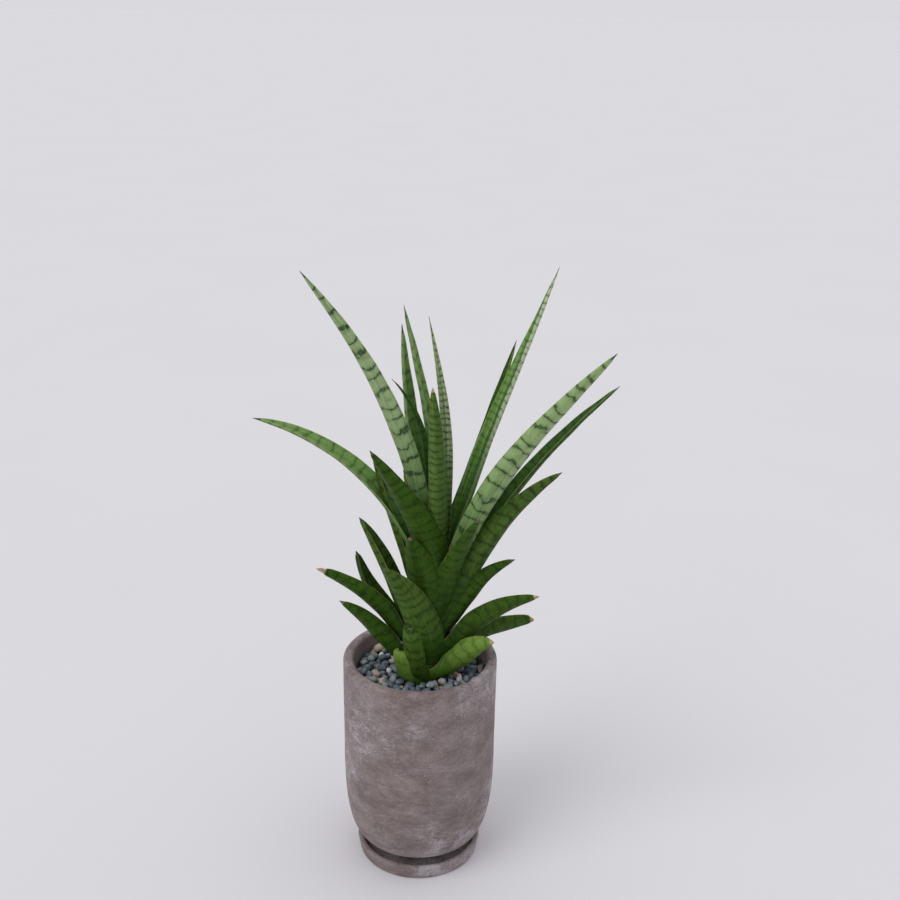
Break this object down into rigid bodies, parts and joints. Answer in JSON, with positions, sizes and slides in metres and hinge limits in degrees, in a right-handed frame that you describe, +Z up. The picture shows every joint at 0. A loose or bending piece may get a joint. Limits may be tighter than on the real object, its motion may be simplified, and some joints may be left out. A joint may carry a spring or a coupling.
{
  "type": "potted snake plant",
  "caption": "Snake plant with arching, dark-banded pointed leaves rising from gravel in a round clay pot that stands on a low saucer.",
  "frame": {"origin": "centre of the saucer's underside, on the surface that the pot stands on", "axes": "+Z up along the pot's axis; -Y is the front, where the tall leaves fan out to the left and right; +X is to the right"},
  "size_m": [0.276, 0.1327, 0.4893],
  "materials": {
    "saucer_clay": "matte",
    "pot_clay": "matte",
    "potting_soil": "matte",
    "gravel": "satin",
    "stem": "satin",
    "root": "matte",
    "leaf_green": "satin",
    "leaf_pale": "satin"
  },
  "bodies": {
    "root": {"saucer": "saucer_clay", "pot": "pot_clay", "soil": "potting_soil", "pebble_layer": "gravel", "stem": "stem", "root_1": "root", "root_2": "root", "root_3": "root", "root_4": "root", "root_5": "root", "leaf_01": "leaf_green", "leaf_02": "leaf_green", "leaf_03": "leaf_green", "leaf_04": "leaf_green", "leaf_05": "leaf_green", "leaf_06": "leaf_green", "leaf_07": "leaf_green", "leaf_08": "leaf_green", "leaf_09": "leaf_green", "leaf_10": "leaf_green", "leaf_11": "leaf_green", "leaf_12": "leaf_green", "leaf_13": "leaf_green", "leaf_14": "leaf_green", "leaf_15": "leaf_green", "leaf_16": "leaf_green", "leaf_17": "leaf_green", "leaf_18": "leaf_green", "leaf_19": "leaf_green", "leaf_20": "leaf_green", "leaf_21": "leaf_green", "leaf_22": "leaf_pale", "leaf_23": "leaf_green", "leaf_24": "leaf_green", "leaf_25": "leaf_green", "leaf_26": "leaf_green", "leaf_27": "leaf_green", "leaf_28": "leaf_pale", "leaf_29": "leaf_green", "leaf_30": "leaf_pale", "leaf_31": "leaf_pale", "leaf_32": "leaf_pale", "leaf_33": "leaf_pale", "leaf_34": "leaf_pale"}
  },
  "joints": []
}
